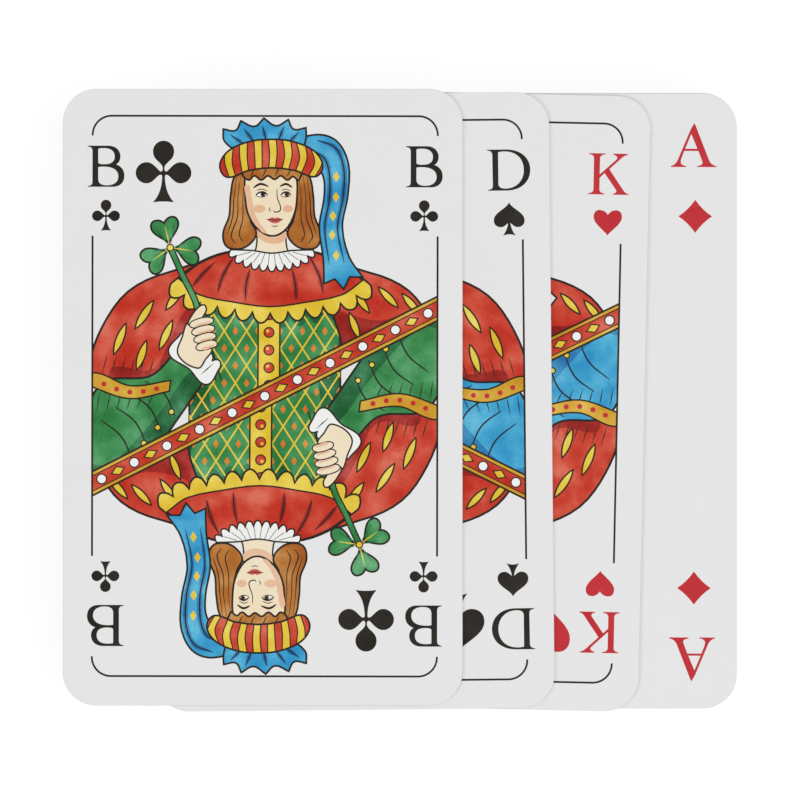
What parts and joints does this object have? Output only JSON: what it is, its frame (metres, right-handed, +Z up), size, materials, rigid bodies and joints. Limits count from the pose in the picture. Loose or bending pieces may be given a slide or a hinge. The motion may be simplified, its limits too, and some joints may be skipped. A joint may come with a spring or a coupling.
{
  "type": "card deck",
  "caption": "Skat deck of loose round-cornered playing cards, squared face up into a pack whose top cards are slid sideways into an overlapping spread.",
  "frame": {"origin": "bottom centre of the box round the pack and its spread, on the surface that it lies on", "axes": "+X across the cards, from the spread towards the squared pack; +Y along the cards, towards the top of the picture; +Z up, out of the printed faces"},
  "size_m": [0.0996, 0.092, 0.0099],
  "materials": {
    "varnished_board": "satin"
  },
  "bodies": {
    "seven_of_clubs": {"seven_of_clubs": "varnished_board"},
    "eight_of_clubs": {"eight_of_clubs": "varnished_board"},
    "nine_of_clubs": {"nine_of_clubs": "varnished_board"},
    "ten_of_clubs": {"ten_of_clubs": "varnished_board"},
    "queen_of_clubs": {"queen_of_clubs": "varnished_board"},
    "king_of_clubs": {"king_of_clubs": "varnished_board"},
    "ace_of_clubs": {"ace_of_clubs": "varnished_board"},
    "seven_of_spades": {"seven_of_spades": "varnished_board"},
    "eight_of_spades": {"eight_of_spades": "varnished_board"},
    "nine_of_spades": {"nine_of_spades": "varnished_board"},
    "ten_of_spades": {"ten_of_spades": "varnished_board"},
    "jack_of_spades": {"jack_of_spades": "varnished_board"},
    "king_of_spades": {"king_of_spades": "varnished_board"},
    "ace_of_spades": {"ace_of_spades": "varnished_board"},
    "seven_of_hearts": {"seven_of_hearts": "varnished_board"},
    "eight_of_hearts": {"eight_of_hearts": "varnished_board"},
    "nine_of_hearts": {"nine_of_hearts": "varnished_board"},
    "ten_of_hearts": {"ten_of_hearts": "varnished_board"},
    "jack_of_hearts": {"jack_of_hearts": "varnished_board"},
    "queen_of_hearts": {"queen_of_hearts": "varnished_board"},
    "ace_of_hearts": {"ace_of_hearts": "varnished_board"},
    "seven_of_diamonds": {"seven_of_diamonds": "varnished_board"},
    "eight_of_diamonds": {"eight_of_diamonds": "varnished_board"},
    "nine_of_diamonds": {"nine_of_diamonds": "varnished_board"},
    "ten_of_diamonds": {"ten_of_diamonds": "varnished_board"},
    "jack_of_diamonds": {"jack_of_diamonds": "varnished_board"},
    "queen_of_diamonds": {"queen_of_diamonds": "varnished_board"},
    "king_of_diamonds": {"king_of_diamonds": "varnished_board"},
    "ace_of_diamonds": {"ace_of_diamonds": "varnished_board"},
    "king_of_hearts": {"king_of_hearts": "varnished_board"},
    "queen_of_spades": {"queen_of_spades": "varnished_board"},
    "jack_of_clubs": {"jack_of_clubs": "varnished_board"}
  },
  "joints": [
    {"name": "jack_of_clubs_slide", "type": "slide", "parent": "queen_of_spades", "child": "jack_of_clubs", "axis": [-1, 0, 0], "range_m": [-0.0132, 0.0163]},
    {"name": "queen_of_spades_slide", "type": "slide", "parent": "king_of_hearts", "child": "queen_of_spades", "axis": [-1, 0, 0], "range_m": [-0.01373, 0.01577]},
    {"name": "king_of_hearts_slide", "type": "slide", "parent": "ace_of_diamonds", "child": "king_of_hearts", "axis": [-1, 0, 0], "range_m": [-0.01365, 0.01585]},
    {"name": "ace_of_diamonds_slide", "type": "slide", "parent": "king_of_diamonds", "child": "ace_of_diamonds", "axis": [-1, 0, 0], "range_m": [0, 0.0295]},
    {"name": "king_of_diamonds_slide", "type": "slide", "parent": "queen_of_diamonds", "child": "king_of_diamonds", "axis": [-1, 0, 0], "range_m": [0, 0.0295]},
    {"name": "queen_of_diamonds_slide", "type": "slide", "parent": "jack_of_diamonds", "child": "queen_of_diamonds", "axis": [-1, 0, 0], "range_m": [0, 0.0295]},
    {"name": "jack_of_diamonds_slide", "type": "slide", "parent": "ten_of_diamonds", "child": "jack_of_diamonds", "axis": [-1, 0, 0], "range_m": [0, 0.0295]},
    {"name": "ten_of_diamonds_slide", "type": "slide", "parent": "nine_of_diamonds", "child": "ten_of_diamonds", "axis": [-1, 0, 0], "range_m": [0, 0.0295]},
    {"name": "nine_of_diamonds_slide", "type": "slide", "parent": "eight_of_diamonds", "child": "nine_of_diamonds", "axis": [-1, 0, 0], "range_m": [0, 0.0295]},
    {"name": "eight_of_diamonds_slide", "type": "slide", "parent": "seven_of_diamonds", "child": "eight_of_diamonds", "axis": [-1, 0, 0], "range_m": [0, 0.0295]},
    {"name": "seven_of_diamonds_slide", "type": "slide", "parent": "ace_of_hearts", "child": "seven_of_diamonds", "axis": [-1, 0, 0], "range_m": [0, 0.0295]},
    {"name": "ace_of_hearts_slide", "type": "slide", "parent": "queen_of_hearts", "child": "ace_of_hearts", "axis": [-1, 0, 0], "range_m": [0, 0.0295]},
    {"name": "queen_of_hearts_slide", "type": "slide", "parent": "jack_of_hearts", "child": "queen_of_hearts", "axis": [-1, 0, 0], "range_m": [0, 0.0295]},
    {"name": "jack_of_hearts_slide", "type": "slide", "parent": "ten_of_hearts", "child": "jack_of_hearts", "axis": [-1, 0, 0], "range_m": [0, 0.0295]},
    {"name": "ten_of_hearts_slide", "type": "slide", "parent": "nine_of_hearts", "child": "ten_of_hearts", "axis": [-1, 0, 0], "range_m": [0, 0.0295]},
    {"name": "nine_of_hearts_slide", "type": "slide", "parent": "eight_of_hearts", "child": "nine_of_hearts", "axis": [-1, 0, 0], "range_m": [0, 0.0295]},
    {"name": "eight_of_hearts_slide", "type": "slide", "parent": "seven_of_hearts", "child": "eight_of_hearts", "axis": [-1, 0, 0], "range_m": [0, 0.0295]},
    {"name": "seven_of_hearts_slide", "type": "slide", "parent": "ace_of_spades", "child": "seven_of_hearts", "axis": [-1, 0, 0], "range_m": [0, 0.0295]},
    {"name": "ace_of_spades_slide", "type": "slide", "parent": "king_of_spades", "child": "ace_of_spades", "axis": [-1, 0, 0], "range_m": [0, 0.0295]},
    {"name": "king_of_spades_slide", "type": "slide", "parent": "jack_of_spades", "child": "king_of_spades", "axis": [-1, 0, 0], "range_m": [0, 0.0295]},
    {"name": "jack_of_spades_slide", "type": "slide", "parent": "ten_of_spades", "child": "jack_of_spades", "axis": [-1, 0, 0], "range_m": [0, 0.0295]},
    {"name": "ten_of_spades_slide", "type": "slide", "parent": "nine_of_spades", "child": "ten_of_spades", "axis": [-1, 0, 0], "range_m": [0, 0.0295]},
    {"name": "nine_of_spades_slide", "type": "slide", "parent": "eight_of_spades", "child": "nine_of_spades", "axis": [-1, 0, 0], "range_m": [0, 0.0295]},
    {"name": "eight_of_spades_slide", "type": "slide", "parent": "seven_of_spades", "child": "eight_of_spades", "axis": [-1, 0, 0], "range_m": [0, 0.0295]},
    {"name": "seven_of_spades_slide", "type": "slide", "parent": "ace_of_clubs", "child": "seven_of_spades", "axis": [-1, 0, 0], "range_m": [0, 0.0295]},
    {"name": "ace_of_clubs_slide", "type": "slide", "parent": "king_of_clubs", "child": "ace_of_clubs", "axis": [-1, 0, 0], "range_m": [0, 0.0295]},
    {"name": "king_of_clubs_slide", "type": "slide", "parent": "queen_of_clubs", "child": "king_of_clubs", "axis": [-1, 0, 0], "range_m": [0, 0.0295]},
    {"name": "queen_of_clubs_slide", "type": "slide", "parent": "ten_of_clubs", "child": "queen_of_clubs", "axis": [-1, 0, 0], "range_m": [0, 0.0295]},
    {"name": "ten_of_clubs_slide", "type": "slide", "parent": "nine_of_clubs", "child": "ten_of_clubs", "axis": [-1, 0, 0], "range_m": [0, 0.0295]},
    {"name": "nine_of_clubs_slide", "type": "slide", "parent": "eight_of_clubs", "child": "nine_of_clubs", "axis": [-1, 0, 0], "range_m": [0, 0.0295]},
    {"name": "eight_of_clubs_slide", "type": "slide", "parent": "seven_of_clubs", "child": "eight_of_clubs", "axis": [-1, 0, 0], "range_m": [0, 0.0295]}
  ]
}
